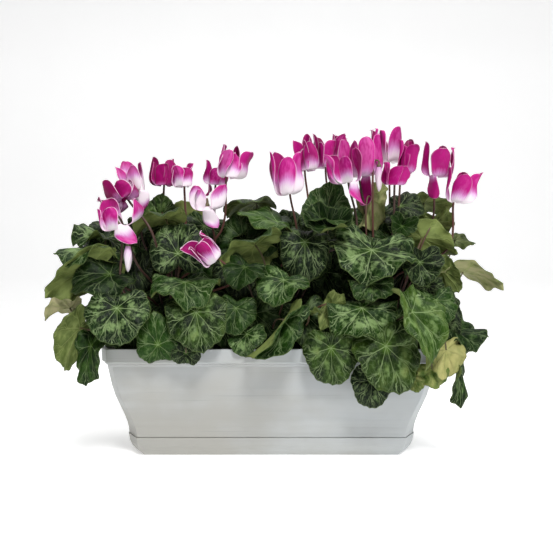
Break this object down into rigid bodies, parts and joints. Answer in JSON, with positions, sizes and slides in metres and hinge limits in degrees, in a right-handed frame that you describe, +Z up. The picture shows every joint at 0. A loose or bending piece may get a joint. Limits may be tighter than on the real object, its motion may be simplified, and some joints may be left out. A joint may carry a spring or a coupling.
{
  "type": "potted cyclamen",
  "caption": "Long grey window-box planter on its drip tray, filled with soil and planted with marbled-leaved cyclamens in magenta and white bloom.",
  "frame": {"origin": "middle of the drip tray's underside, on the surface that it stands on", "axes": "+X along the planter to the right, +Y away from the front that shows most flowers, +Z up"},
  "size_m": [0.678, 0.2957, 0.5078],
  "materials": {
    "planter": "pale grey, faintly streaked",
    "saucer": "pale grey, faintly streaked",
    "soil": "matt, crumbly",
    "foliage": "satin, marbled",
    "petal": "satin, white at the base",
    "bud": "satin"
  },
  "bodies": {
    "root": {"planter": "planter", "saucer": "saucer", "soil": "soil", "plant_1": "foliage", "plant_2": "foliage", "plant_3": "foliage", "flower_01": "petal", "flower_02": "petal", "flower_03": "petal", "flower_04": "petal", "flower_05": "petal", "flower_06": "petal", "flower_07": "petal", "flower_08": "petal", "flower_09": "petal", "flower_10": "petal", "flower_11": "petal", "flower_12": "petal", "flower_13": "petal", "flower_14": "petal", "flower_15": "petal", "flower_16": "petal", "flower_17": "petal", "flower_18": "petal", "flower_19": "petal", "flower_20": "petal", "bud_1": "bud", "bud_2": "bud"}
  },
  "joints": []
}
